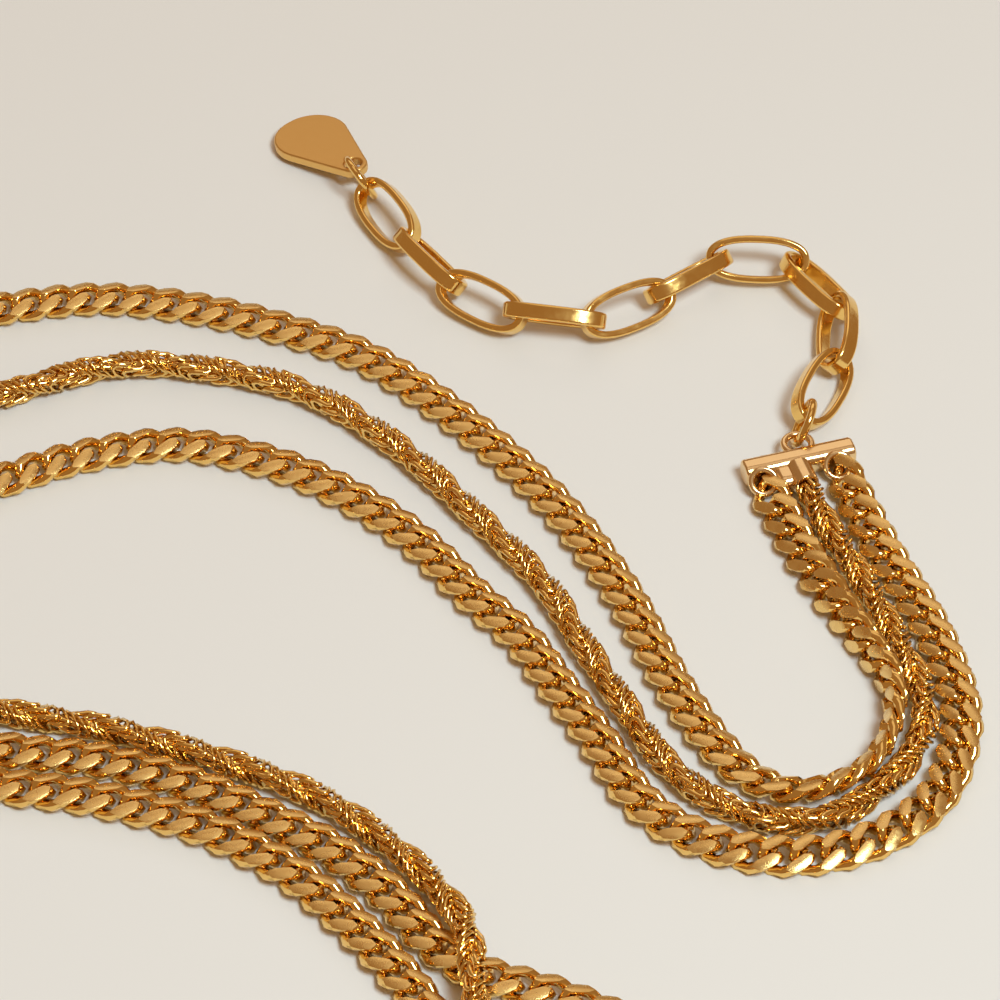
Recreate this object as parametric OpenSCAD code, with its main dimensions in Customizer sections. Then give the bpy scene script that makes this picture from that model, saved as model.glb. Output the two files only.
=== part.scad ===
// Three strand necklace in gold, laid unclasped on a flat surface.
// Millimetres, +Z up, resting on z = 0.

/* [Curb strands] */
// Length of one curb link, outside
curb_link_l = 5.3; // [5.2:0.1:5.7]
// Width of one curb link, outside
curb_link_w = 4.1; // [3.9:0.05:4.3]
// Thickness of a curb strand after both faces are filed flat
curb_thick = 1.65; // [1.5:0.05:1.9]
// Wire of a curb link
curb_wire = 1.1; // [1:0.05:1.2]
// Play between two curb links
curb_play = 0.3; // [0.2:0.05:0.4]
// Turn of each end of a curb link out of the link's middle plane
curb_twist = 57; // [52:1:60]

/* [Rope strand] */
// Diameter of the rope strand
rope_d = 2.8; // [2.4:0.1:3]
// Diameter of the rope strand's necked ends
rope_neck_d = 1.7; // [1.4:0.1:1.9]
// How far each necked end reaches into its ferrule
rope_seat = 1.4; // [1:0.1:1.8]

/* [End bars] */
// Length of an end bar
bar_l = 11.2; // [11:0.1:13]
// Width of an end bar
bar_w = 2.4; // [2.2:0.1:2.6]
// Height of an end bar
bar_h = 2.4; // [2:0.1:3]
// Rounding of the long edges of an end bar
bar_round = 0.5; // [0.2:0.1:0.9]
// Outside diameter of the tube end that holds a curb strand
eyelet_d = 3; // [2.8:0.1:3.2]
// Bore of that tube end
eyelet_bore = 2.4; // [2.2:0.1:2.5]
// Length of that tube end along its axis
eyelet_l = 0.6; // [0.5:0.1:0.8]
// Lean of the tube end's axis away from upright
eyelet_lean = 15; // [10:1:30]
// Outside diameter of the ferrule that holds the rope strand
ferrule_d = 2.6; // [2.6:0.1:3]
// Length of that ferrule in front of the bar
ferrule_l = 2.4; // [2:0.1:3]
// Outside diameter of the loop behind the bar
loop_d = 3.4; // [3.2:0.1:4]
// Wire of the loop behind the bar
loop_wire = 0.7; // [0.6:0.05:0.8]

/* [Rings] */
// Outside diameter of the ring between an end bar and what hangs on it
bar_ring_d = 5.2; // [5:0.1:5.6]
// Wire of that ring
bar_ring_wire = 0.8; // [0.6:0.1:0.9]
// Outside diameter of the ring that holds the tag
tag_ring_d = 5.4; // [5.2:0.1:5.8]
// Wire of the ring that holds the tag
tag_ring_wire = 0.8; // [0.6:0.1:1]

/* [Extender] */
// Length of one extender link, outside
ext_link_l = 10.4; // [10.1:0.1:10.7]
// Width of one extender link, outside
ext_link_w = 4.8; // [4.6:0.1:5]
// Width of the strip that an extender link is bent from
ext_strip_w = 1.6; // [1.4:0.1:1.8]
// Thickness of that strip
ext_strip_t = 0.6; // [0.5:0.05:0.65]
// Corner radius of an extender link, outside
ext_corner = 2.2; // [1.8:0.1:2.3]

/* [Tag] */
// Length of the tag
tag_l = 12.3; // [11.5:0.1:13]
// Width of the tag
tag_w = 7.8; // [7.6:0.1:8.2]
// Thickness of the tag
tag_t = 1; // [0.8:0.1:1.1]
// Hole of the tag
tag_hole = 1.8; // [1.7:0.1:2]

/* [Clasp] */
// Length of the clasp
clasp_l = 12.5; // [11:0.5:14]
// Width of the clasp
clasp_w = 6; // [5.5:0.1:7]
// Thickness of the clasp
clasp_t = 2.4; // [2:0.1:3]
// Wall around the clasp's opening
clasp_wall = 1.3; // [1.1:0.1:1.6]
// Hole in the clasp's eye
clasp_eye = 1.8; // [1.6:0.1:2]

/* [Hidden] */
$fn = 48;
gold = [0.86, 0.62, 0.27];

// Middle of the laid necklace, which becomes the origin
middle = [11.25, -23.45];

// Where each end bar lies: x, y, heading of its long side
BAR_FRONT = [28.8, 4.05, 17];
BAR_BACK = [86, -97, -90];
// Places of the three strand ends along a bar, and of the loop behind it
end_at = [-4.2, -0.4, 3.4];
loop_at = 0.6;
// Distance of the loop's middle behind the bar, whose back hides the rest of the loop
loop_out = 0.75;
// Distance of a tube end's axis in front of the bar's middle, and its height
eyelet_out = 1.6;
eyelet_z = 2.1;
ferrule_z = 1.7;
loop_z = 1.6;

// Sides of a curb link along its wire and around it, and steps between two route points
link_sides = 10;
wire_sides = 5;
smooth_steps = 8;
// Squareness of a curb link's outline, where 1 is an ellipse
curb_square = 0.85;
curb_pitch = curb_link_l - 2*curb_wire - curb_play;
link_a = (curb_link_l - curb_wire)/2;
link_b = (curb_link_w - curb_wire)/2;
// Distance from a tube end's lip to the middle of the curb link that hooks it
lip_r = (eyelet_d + eyelet_bore)/4;
lip_wall = (eyelet_d - eyelet_bore)/2;
hook_in = link_a - curb_wire/2 - lip_wall/2 - curb_play;
rope_clear = 0.15;

// A point beside a bar: along its long side, and behind its middle
function by_bar(bar, along, behind) = [
    bar[0] + along*cos(bar[2]) - behind*sin(bar[2]),
    bar[1] + along*sin(bar[2]) + behind*cos(bar[2])];
lip_out = eyelet_out + lip_r*cos(eyelet_lean);
ferrule_out = bar_w/2 + ferrule_l - rope_seat;

// Routes of the strands from the front bar to the back bar: x, y, roll, lift
OUTER_ROUTE = [
    concat(by_bar(BAR_FRONT, end_at[2], -lip_out), [45, 0]),
    [34.5, -3, 34, 0], [36.6, -9, 21, 0], [38.9, -14.5, 14, 0], [40.9, -20.5, 12, 0],
    [42.4, -28, 12, 0], [41.9, -33.5, 8, 0], [40, -38.7, 2, 0], [36.5, -42.8, -6, 0],
    [31.5, -45.7, -12, 0], [26, -46.7, -14, 0], [20.5, -45.7, -12, 0], [15.5, -43, -6, 0],
    [12, -38.9, 0, 0], [9, -32.5, 0, 0], [5.5, -26, 0, 0], [2, -19.5, 0, 0], [-2.5, -14, 0, 0],
    [-8, -6.5, 0, 0], [-14.5, -0.5, 0, 0], [-22, 4, 0, 0], [-31, 6.5, 0, 0], [-40, 5, 0, 0],
    [-48, 1.5, 0, 0], [-54.5, -2.5, 0, 0], [-59, -8.5, 0, 0], [-60.5, -15.5, 0, 0],
    [-59, -22.5, 0, 0], [-54, -29.5, 0, 0], [-46, -33.5, 0, 0], [-36.5, -35, 0, 0],
    [-28, -38, 0, 0], [-21, -42, 0, 0], [-15, -46, 0, 0], [-9.8, -51.3, 0, 0], [-5.9, -56.9, 0, 0],
    [-1.5, -60.5, 0, 0], [5, -63, 0, 0], [12.5, -67, 0, 0], [21, -72.5, 0, 0],
    [30, -78.5, 0, 0], [40, -84, 0, 0], [51, -88.5, 0, 0], [63, -91.5, -8, 0], [75, -93, -24, 0],
    concat(by_bar(BAR_BACK, end_at[0], -lip_out), [-45, 0])];
ROPE_ROUTE = [
    concat(by_bar(BAR_FRONT, end_at[1], -ferrule_out), [0, ferrule_z - rope_d/2]),
    concat(by_bar(BAR_FRONT, end_at[1], -ferrule_out - rope_seat), [0, ferrule_z - rope_d/2]),
    [31.1, -4.5, 0, 0], [34.1, -12, 0, 0], [37, -20, 0, 0], [39, -27.5, 0, 0], [38, -33.5, 0, 0],
    [34.5, -38.5, 0, 0], [30, -42, 0, 0], [25, -42.5, 0, 0], [20, -40.5, 0, 0],
    [15.5, -36, 0, 0], [12, -29.5, 0, 0], [7.5, -20, 0, 0], [4, -12.5, 0, 0], [-2, -4, 0, 0],
    [-9.5, 5.5, 0, 0], [-18, 13, 0, 0], [-27, 16.5, 0, 0], [-37, 17.5, 0, 0], [-47, 14, 0, 0],
    [-56.5, 9, 0, 0], [-63, 2, 0, 0], [-66.5, -6.5, 0, 0], [-66, -14.5, 0, 0.3],
    [-63.5, -20, 0, 1.5], [-60, -23.5, 0, 2.1], [-55.5, -26, 0, 2.1], [-51, -27.8, 0, 1],
    [-46, -29, 0, 0], [-34.9, -31.7, 0, 0], [-23.9, -35.9, 0, 0], [-15.5, -40.5, 0, 0],
    [-8.5, -47, 0, 0], [-4.5, -53, 0, 0.7], [-3, -57, 0, 1.7], [-2.5, -61, 0, 2.1], [-2, -65, 0, 1.5],
    [-0.5, -69.5, 0, 0.4], [3.5, -74.5, 0, 0], [12, -79.5, 0, 0], [24, -84.5, 0, 0],
    [37, -89.5, 0, 0], [50, -93.5, 0, 0], [64, -96, 0, 0], [75, -97, 0, 0],
    concat(by_bar(BAR_BACK, end_at[1], -ferrule_out - rope_seat), [0, ferrule_z - rope_d/2]),
    concat(by_bar(BAR_BACK, end_at[1], -ferrule_out), [0, ferrule_z - rope_d/2])];
INNER_ROUTE = [
    concat(by_bar(BAR_FRONT, end_at[0], -lip_out), [45, 0]),
    [26.8, -3, 20, 0], [28.6, -8.1, 18, 0], [31.1, -14.4, 50, 0], [33.9, -20.5, 68, 0],
    [36.1, -26, 76, 0], [35.7, -31.7, 72, 0], [33, -36.4, 52, 0], [28, -38.8, 30, 0],
    [23.5, -37.5, 15, 0], [20, -33.5, 5, 0], [16, -25.5, 0, 0], [11.5, -13.5, 0, 0],
    [5.5, -2, 0, 0], [-2.5, 8.5, 0, 0], [-12, 18, 0, 0], [-20, 22.5, 0, 0], [-30, 26, 0, 0],
    [-40, 27.5, 0, 0], [-50, 26, 0, 0], [-60, 23.5, 0, 0], [-69, 18, 0, 0], [-75, 10, 0, 0],
    [-78, 0.5, 0, 0], [-77.5, -10, 0, 0], [-74, -19.5, 0, 0], [-67.5, -28.5, 0, 0],
    [-58, -35, 0, 0], [-46, -38, 0, 0], [-36.6, -39.7, 0, 0], [-27.2, -43, 0, 0],
    [-19.5, -47.9, 0, 0], [-14.3, -53.2, 0, 0], [-9.3, -59.8, 0, 0], [-6, -65.5, 0, 0],
    [-4, -72, 0, 0], [0, -78.5, 0, 0], [8, -84.5, 0, 0], [21, -90, 0, 0], [36, -95, 0, 0],
    [52, -98.5, 0, 0], [64, -100.2, -8, 0], [75, -100.8, -22, 0],
    concat(by_bar(BAR_BACK, end_at[2], -lip_out), [-45, 0])];

// Extender links from the tag to the front bar: x, y, heading, roll, lift
EXTENDER = [
    [-11.4, 38.9, -61, 43, 0], [-7, 31.8, -55, -48, 0], [-1.8, 25.9, -36, 41, 0],
    [5.4, 23.5, -10, -48, 0.2], [12.7, 24.8, 30, 45, 0], [18.8, 29.5, 37.5, -45.5, 0],
    [25.8, 31.8, -3, 50, 0.2], [31.7, 28.5, -57, -32.5, 0], [33.3, 21.2, -93, 48.5, 0],
    [31.5, 13.4, -114, -38, 0]];

// Places of the loose pieces: x, y, heading, and the lean of a ring or the rise of the tag's nose
BAR_RING = [29.43, 8.15, 80.4, 21.5];
// Extender link length that these places are given for
ext_placed_l = 10.4;
TAG_RING = [-14.2, 44.35, -64, 27];
TAG = [-14.9, 46.5, 129, 8];
CLASP_RING = [90.03, -97.6, 0, 0];
CLASP = [91.85, -97.6, 0];
// Size of the tag's rounded corners and of the flat on its rim
tag_corner = 3.7;
tag_nose = 1.5;
tag_bevel = 0.3;

// Longer links lie further out from the bar's ring, and the tag goes with the last of them
ext_longer = ext_link_l/ext_placed_l;
function drawn(row) = [BAR_RING.x + ext_longer*(row.x - BAR_RING.x),
    BAR_RING.y + ext_longer*(row.y - BAR_RING.y)];
last_heading = EXTENDER[0][2];
tag_move = drawn(EXTENDER[0]) - [EXTENDER[0].x, EXTENDER[0].y]
    - (ext_link_l - ext_placed_l)/2*[cos(last_heading), sin(last_heading)];

function unit(v) = v/norm(v);
function signed_power(v, p) = sign(v)*pow(abs(v), p);

// A smooth curve through the rows of a route
function smooth(route) =
    let (n = len(route),
        q = concat([2*route[0] - route[1]], route, [2*route[n - 1] - route[n - 2]]))
    concat([for (i = [1:n - 1]) for (k = [0:smooth_steps - 1])
        let (t = k/smooth_steps, a = q[i - 1], b = q[i], c = q[i + 1], d = q[i + 2])
        b + 0.5*t*(c - a + t*(2*a - 5*b + 4*c - d + t*(3*b - 3*c + d - a)))], [route[n - 1]]);

// Middle line of a curb link's wire: a squarish ring turned more towards each end
function link_turn(x) = -curb_twist*x/link_a;
function link_core(t) =
    let (x = link_a*signed_power(cos(t), curb_square),
        w = link_b*signed_power(sin(t), curb_square))
    [x, w*cos(link_turn(x)), w*sin(link_turn(x))];

// Points of one curb link around its middle, filed flat above and below
link_points = [for (j = [0:link_sides - 1]) for (k = [0:wire_sides - 1])
    let (t = 360*j/link_sides,
        core = link_core(t),
        along = unit(link_core(t + 5) - link_core(t - 5)),
        face = [0, -sin(link_turn(core.x)), cos(link_turn(core.x))],
        out = unit(cross(along, face)),
        over = cross(out, along),
        turn = 360*k/wire_sides,
        p = core + curb_wire/2*(cos(turn)*out + sin(turn)*over))
    [p.x, p.y, max(-curb_thick/2, min(curb_thick/2, p.z))]];
link_faces = [for (j = [0:link_sides - 1]) for (k = [0:wire_sides - 1])
    let (j2 = (j + 1) % link_sides, k2 = (k + 1) % wire_sides,
        a = j*wire_sides + k, b = j2*wire_sides + k,
        c = j2*wire_sides + k2, d = j*wire_sides + k2)
    each [[a, c, b], [a, d, c]]];

// Height of a curb strand's middle when its rolled links touch the surface
function curb_rest(roll) = -min([for (p = link_points) p.y*sin(roll) + p.z*cos(roll)]);

// Rows x, y, height, roll and the length walked to each of them
function curb_line(route) = [for (s = smooth(route)) [s[0], s[1], s[3] + curb_rest(s[2]), s[2]]];
function walked(line) = [for (i = 0, s = 0; i < len(line);
    s = s + (i + 1 < len(line) ? norm(head3(line[i + 1]) - head3(line[i])) : 0), i = i + 1) s];
function head3(row) = [row[0], row[1], row[2]];
function columns(line) =
    let (s = walked(line)) [for (c = [0:3]) [for (i = [0:len(line) - 1]) [s[i], line[i][c]]]];
function spot(cols, s) = [for (c = [0:3]) lookup(s, cols[c])];

// Points moved to a place on a strand: middle, direction along, roll about that direction
function placed(points, at, along, roll) =
    let (left = unit([-along.y, along.x, 0]),
        up = cross(along, left),
        side = left*cos(roll) + up*sin(roll),
        top = up*cos(roll) - left*sin(roll))
    [for (p = points) at + along*p.x + side*p.y + top*p.z];

outer_cols = columns(curb_line(OUTER_ROUTE));
outer_l = outer_cols[0][len(outer_cols[0]) - 1][0];
outer_links = round((outer_l - 2*hook_in)/curb_pitch) + 1;
outer_step = (outer_l - 2*hook_in)/(outer_links - 1);

// One strand of interlocking curb links, from one link number to another
module curb_links(cols, first, last, step) {
    polyhedron(
        points = [for (i = [first:last])
            let (s = hook_in + i*step, a = spot(cols, s - link_a), b = spot(cols, s + link_a),
                m = spot(cols, s))
            each placed(link_points, head3(m), unit(head3(b) - head3(a)), m[3])],
        faces = [for (i = [0:last - first]) for (f = link_faces)
            [for (v = f) v + i*link_sides*wire_sides]],
        convexity = 10);
}

// Height of a tube's middle when its rolled section touches the surface
function tube_rest(section, roll) = -min([for (p = section) p.x*sin(roll) + p.y*cos(roll)]);

// A closed tube along rows of a route: each ring is a section of 8 points, [across, up]
module strand_tube(rows, sections) {
    n = len(rows);
    polyhedron(
        points = [for (i = [0:n - 1])
            let (along = unit(head3(rows[min(i + 1, n - 1)]) - head3(rows[max(i - 1, 0)])))
            each placed([for (p = sections[i]) [0, p.x, p.y]], head3(rows[i]), along, rows[i][3])],
        faces = concat(
            [for (i = [0:n - 2]) for (k = [0:7])
                let (a = 8*i + k, b = 8*i + (k + 1) % 8) each [[a, b + 8, b], [a, a + 8, b + 8]]],
            [[for (k = [0:7]) k], [for (k = [7:-1:0]) 8*(n - 1) + k]]),
        convexity = 10);
}

module laid() {
    translate([-middle.x, -middle.y, 0]) color(gold) children();
}

module wire_ring(outside, wire) {
    rotate_extrude() translate([(outside - wire)/2, 0]) circle(d = wire, $fn = 32);
}

// A rectangle with round corners, centred
module rounded(l, w, r) {
    square([l - 2*r, w], center = true);
    square([l, w - 2*r], center = true);
    for (x = [-1, 1], y = [-1, 1])
        translate([x*(l/2 - r), y*(w/2 - r)]) circle(r);
}

// Bar with two tube ends, a ferrule and a loop, soldered into one piece
module end_bar(place) {
    laid() translate([place[0], place[1], 0]) rotate(place[2]) difference() {
        union() {
            translate([-bar_l/2, 0, bar_h/2]) rotate([90, 0, 90])
                linear_extrude(bar_l) rounded(bar_w, bar_h, bar_round);
            for (x = [end_at[0], end_at[2]])
                translate([x, -eyelet_out, eyelet_z]) rotate([eyelet_lean, 0, 0])
                    cylinder(d = eyelet_d, h = eyelet_l, center = true);
            translate([end_at[1], 0, ferrule_z]) rotate([90, 0, 0])
                cylinder(d = ferrule_d, h = bar_w/2 + ferrule_l);
            translate([loop_at, bar_w/2 + loop_out, loop_z])
                wire_ring(loop_d, loop_wire);
        }
        for (x = [end_at[0], end_at[2]])
            translate([x, -eyelet_out, eyelet_z]) rotate([eyelet_lean, 0, 0])
                cylinder(d = eyelet_bore, h = 3*eyelet_l, center = true);
        translate([end_at[1], -bar_w/2 - ferrule_l + rope_seat + rope_clear, ferrule_z])
            rotate([90, 0, 0]) cylinder(d = rope_neck_d + 2*rope_clear, h = ferrule_l);
    }
}

// Ring on its edge across its neighbours, leaning to one side by its last value
module standing_ring(place, outside, wire) {
    laid() translate([place[0], place[1], (outside - wire)/2*cos(place[3]) + wire/2])
        rotate([0, 0, place[2]]) rotate([90 + place[3], 0, 0]) wire_ring(outside, wire);
}

module tag_hanger() {
    translate(tag_move) standing_ring(TAG_RING, tag_ring_d, tag_ring_wire);
}

module extender_link(number) {
    row = EXTENDER[number - 1];
    rest = ext_link_w/2*abs(sin(row[3])) + ext_strip_w/2*cos(row[3]);
    spot = drawn(row);
    laid() translate([spot.x, spot.y, rest + row[4]]) rotate([0, 0, row[2]]) rotate([row[3], 0, 0])
        translate([0, 0, -ext_strip_w/2]) linear_extrude(ext_strip_w) difference() {
            rounded(ext_link_l, ext_link_w, ext_corner);
            rounded(ext_link_l - 2*ext_strip_t, ext_link_w - 2*ext_strip_t,
                ext_corner - ext_strip_t);
        }
}

// Pick shaped plate: a narrow nose with the hole and a broad end that lies on the surface
module tag() {
    far = tag_l - tag_nose - tag_corner;
    laid() translate(tag_move) translate([TAG[0], TAG[1], 0]) rotate(TAG[2])
        translate([tag_l - tag_nose, 0, 0]) rotate([0, TAG[3], 0])
            translate([tag_nose - tag_l, 0, 0]) difference() {
                hull() {
                    for (z = [0, tag_bevel]) {
                        translate([0, 0, z])
                            cylinder(r = tag_nose - tag_bevel + z, h = tag_t - 2*z, $fn = 32);
                        for (y = [-1, 1])
                            translate([far, y*(tag_w/2 - tag_corner), z])
                                cylinder(r = tag_corner - tag_bevel + z, h = tag_t - 2*z, $fn = 32);
                    }
                }
                cylinder(d = tag_hole, h = 3*tag_t, center = true);
            }
}

module curb_outer_near() {
    laid() curb_links(outer_cols, 0, floor(outer_links/2) - 1, outer_step);
}

module curb_outer_far() {
    laid() curb_links(outer_cols, floor(outer_links/2), outer_links - 1, outer_step);
}

module curb_inner() {
    w = curb_link_w/2;
    h = curb_thick/2;
    section = [[w, -h/2], [w, h/2], [w/2, h], [-w/2, h], [-w, h/2], [-w, -h/2], [-w/2, -h], [w/2, -h]];
    n = len(INNER_ROUTE);
    end_gap = lip_wall/2 + curb_play + eyelet_l/2;
    rows = [for (r = INNER_ROUTE) [r[0], r[1], r[3] + max(curb_rest(r[2]), tube_rest(section, r[2])), r[2]]];
    first = rows[0] + end_gap*(rows[1] - rows[0])/norm(head3(rows[1] - rows[0]));
    last = rows[n - 1] + end_gap*(rows[n - 2] - rows[n - 1])/norm(head3(rows[n - 2] - rows[n - 1]));
    laid() strand_tube([for (i = [0:n - 1]) i == 0 ? first : i == n - 1 ? last : rows[i]],
        [for (i = [0:n - 1]) section]);
}

module rope_strand() {
    n = len(ROPE_ROUTE);
    rows = [for (r = ROPE_ROUTE) [r[0], r[1], r[3] + rope_d/2, 0]];
    laid() strand_tube(rows, [for (i = [0:n - 1])
        let (d = i < 2 || i > n - 3 ? rope_neck_d : rope_d)
        [for (k = [0:7]) d/2*[cos(45*k + 22.5), sin(45*k + 22.5)]]]);
}

// Plain closed clasp: a ring shaped body, a neck and an eye thin enough for its ring
module clasp() {
    eye_r = clasp_eye/2 + 0.8;
    body_x = clasp_l - eye_r - clasp_w/2;
    eye_t = clasp_t - bar_ring_wire - 0.4;
    laid() translate([CLASP[0], CLASP[1], 0]) rotate(CLASP[2]) difference() {
        union() {
            translate([body_x, 0, 0]) cylinder(d = clasp_w, h = clasp_t);
            translate([eye_r + 0.2, -eye_r, 0]) cube([body_x - eye_r, 2*eye_r, clasp_t]);
            translate([0, 0, clasp_t - eye_t]) cylinder(r = eye_r, h = eye_t);
            translate([0, -eye_r, clasp_t - eye_t]) cube([body_x, 2*eye_r, eye_t]);
        }
        translate([body_x, 0, -1]) cylinder(d = clasp_w - 2*clasp_wall, h = clasp_t + 2);
        translate([0, 0, -1]) cylinder(d = clasp_eye, h = clasp_t + 2);
    }
}

end_bar(BAR_FRONT);  // end_bar_front
standing_ring(BAR_RING, bar_ring_d, bar_ring_wire);  // bar_ring
extender_link(1);  // extender_link_1
extender_link(2);  // extender_link_2
extender_link(3);  // extender_link_3
extender_link(4);  // extender_link_4
extender_link(5);  // extender_link_5
extender_link(6);  // extender_link_6
extender_link(7);  // extender_link_7
extender_link(8);  // extender_link_8
extender_link(9);  // extender_link_9
extender_link(10);  // extender_link_10
tag_hanger();  // tag_ring
tag();
curb_outer_near();
curb_outer_far();
curb_inner();
rope_strand();
end_bar(BAR_BACK);  // end_bar_back
standing_ring(CLASP_RING, bar_ring_d, bar_ring_wire);  // clasp_ring
clasp();
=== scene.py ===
# %% [markdown]
# # A three strand necklace, laid on a pale surface
#
# Two curb chains and a fine plaited rope run side by side from one end bar to the other. Behind
# the bar hang ten long links of flat strip and a small tag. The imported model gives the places, in
# millimetres that are scaled to metres here. Each piece is made again with its facets, its wires
# and its finish. A few wires and walls are a little stouter than the model's, and the cells say
# which.

# %% Frame
import math

import bpy
import numpy as np
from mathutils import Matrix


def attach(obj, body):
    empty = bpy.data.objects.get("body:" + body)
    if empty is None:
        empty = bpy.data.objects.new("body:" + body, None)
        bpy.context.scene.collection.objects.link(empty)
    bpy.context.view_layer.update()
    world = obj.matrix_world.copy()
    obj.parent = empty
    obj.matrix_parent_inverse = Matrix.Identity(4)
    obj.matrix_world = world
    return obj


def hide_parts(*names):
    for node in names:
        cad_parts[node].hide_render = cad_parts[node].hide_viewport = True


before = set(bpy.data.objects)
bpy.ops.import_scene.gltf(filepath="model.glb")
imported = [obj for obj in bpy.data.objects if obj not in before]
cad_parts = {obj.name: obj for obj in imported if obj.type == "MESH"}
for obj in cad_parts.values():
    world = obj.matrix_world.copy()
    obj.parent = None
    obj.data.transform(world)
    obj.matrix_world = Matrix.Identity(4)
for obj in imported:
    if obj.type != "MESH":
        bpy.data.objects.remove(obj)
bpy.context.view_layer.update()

MM = 0.001
MIDDLE = np.array([11.25, -23.45, 0.0])
print("nodes", len(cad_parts))

# %% [markdown]
# ## Camera
#
# The photograph looks down at the table at a little under half a right angle, with a long lens.
# The lens is worked out from the curb links: they have one size all along the strand, so their
# size in the picture near and far gives the distance and the height of the eye.

# %% Camera
EYE_HEIGHT = math.radians(44.5)
EYE_DISTANCE = 500
camera_data = bpy.data.cameras.new("camera")
camera_data.sensor_width = 36
camera_data.lens = 187.2
camera = bpy.data.objects.new("camera", camera_data)
bpy.context.scene.collection.objects.link(camera)
camera.location = (np.array([0, -EYE_DISTANCE*math.cos(EYE_HEIGHT), EYE_DISTANCE*math.sin(EYE_HEIGHT)])
                   - MIDDLE)*MM
camera.rotation_euler = (math.pi/2 - EYE_HEIGHT, 0, 0)
camera_data.clip_start = 0.01
bpy.context.scene.camera = camera
print("camera", [round(v, 3) for v in camera.location])

# %% [markdown]
# ## Floor and light
#
# Gold has no colour of its own in the dark: it shows what is around it. The shadows inside the
# long links tell where the lamp stood: above the viewer's right shoulder. So one soft square
# lamp hangs there and puts a bright line on every edge that faces it, and a dim wall stands behind
# for the flat tops to mirror. A faint ceiling fills in from above. The rest of the room is warm
# and dim, so shadows lean to brown.

# %% Floor and light
def plain_material(name, colour, rough):
    """A material with one colour and one roughness."""
    m = bpy.data.materials.new(name)
    m.use_nodes = True
    b = m.node_tree.nodes["Principled BSDF"]
    b.inputs["Base Color"].default_value = (*colour, 1)
    b.inputs["Roughness"].default_value = rough
    return m


floor_mesh = bpy.data.meshes.new("floor")
FLOOR = 1.5
floor_mesh.from_pydata([(-FLOOR, -FLOOR, 0), (FLOOR, -FLOOR, 0), (FLOOR, FLOOR, 0), (-FLOOR, FLOOR, 0)],
                       [], [(0, 1, 2, 3)])
floor = bpy.data.objects.new("floor", floor_mesh)
bpy.context.scene.collection.objects.link(floor)
floor.location.z = -0.00005
floor_mesh.materials.append(plain_material("pale_paper", (0.82, 0.80, 0.745), 0.75))


def lamp(name, size, power, place, colour, aim=(0, 0, 0)):
    """An area lamp of a size in metres, turned so that it shines at a point."""
    data = bpy.data.lights.new(name, "AREA")
    data.shape = "RECTANGLE"
    data.size, data.size_y = size
    data.energy = power
    data.color = colour
    o = bpy.data.objects.new(name, data)
    bpy.context.scene.collection.objects.link(o)
    o.location = place
    d = np.array(aim, float) - np.array(place, float)
    o.rotation_euler = (math.atan2(math.hypot(d[0], d[1]), -d[2]), 0, math.atan2(-d[0], d[1]))
    return o


lamp("window", (0.28, 0.28), 6.7, (0.288, -0.374, 0.768), (0.74, 0.90, 1.0))
lamp("wall", (2.0, 1.3), 5.2, (0, 1.9, 1.7), (1.0, 0.97, 0.94))
lamp("ceiling", (1.1, 0.9), 1.5, (-0.1, 0.25, 1.6), (1.0, 0.97, 0.94))
world = bpy.data.worlds.new("room")
bpy.context.scene.world = world
world.use_nodes = True
world.node_tree.nodes["Background"].inputs["Color"].default_value = (1.0, 0.60, 0.31, 1)
world.node_tree.nodes["Background"].inputs["Strength"].default_value = 0.34
bpy.context.scene.view_settings.view_transform = "Standard"

# %% [markdown]
# ## Gold
#
# Plated gold is one metal with five finishes here: polished wire, the filed faces of the curb
# links with their fine satin drag, the rolled strip of the extender, the paler metal of the
# soldered bars and the satin tag. Each is a metal shader whose roughness and height come from
# noise in the object's own coordinates.

# %% Gold
def gold(name, colour, rough, spread, bump, grain, stretch=(1, 1, 1)):
    """A metal whose roughness wanders by spread and whose surface is raised by fine grain."""
    m = bpy.data.materials.new(name)
    m.use_nodes = True
    n, link = m.node_tree.nodes, m.node_tree.links
    b = n["Principled BSDF"]
    b.inputs["Metallic"].default_value = 1
    b.inputs["Base Color"].default_value = (*colour, 1)
    where = n.new("ShaderNodeTexCoord")
    turn = n.new("ShaderNodeMapping")
    turn.inputs["Scale"].default_value = stretch
    link.new(where.outputs["Object"], turn.inputs["Vector"])
    cloud = n.new("ShaderNodeTexNoise")
    cloud.inputs["Scale"].default_value = 900
    cloud.inputs["Detail"].default_value = 3
    link.new(where.outputs["Object"], cloud.inputs["Vector"])
    wear = n.new("ShaderNodeMapRange")
    wear.inputs["From Min"].default_value = 0.3
    wear.inputs["From Max"].default_value = 0.7
    wear.inputs["To Min"].default_value = max(rough - spread, 0.02)
    wear.inputs["To Max"].default_value = rough + spread
    link.new(cloud.outputs["Fac"], wear.inputs["Value"])
    link.new(wear.outputs["Result"], b.inputs["Roughness"])
    fine = n.new("ShaderNodeTexNoise")
    fine.inputs["Scale"].default_value = grain
    fine.inputs["Detail"].default_value = 2
    link.new(turn.outputs["Vector"], fine.inputs["Vector"])
    height = n.new("ShaderNodeBump")
    height.inputs["Strength"].default_value = bump
    height.inputs["Distance"].default_value = 0.00005
    link.new(fine.outputs["Fac"], height.inputs["Height"])
    link.new(height.outputs["Normal"], b.inputs["Normal"])
    return m


GOLD = (0.92, 0.60, 0.19)
SATIN = (0.90, 0.61, 0.22)
polished = gold("polished_gold", GOLD, 0.10, 0.04, 0.2, 1500)
filed = gold("filed_gold", SATIN, 0.27, 0.08, 0.35, 9000, (1, 1.6, 1))
rolled = gold("rolled_gold", GOLD, 0.17, 0.06, 0.35, 1100)
soldered = gold("soldered_gold", (0.88, 0.62, 0.31), 0.18, 0.05, 0.3, 700)
satin = gold("satin_gold", (0.84, 0.52, 0.17), 0.34, 0.05, 0.15, 2200, (2, 1, 1))

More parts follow.
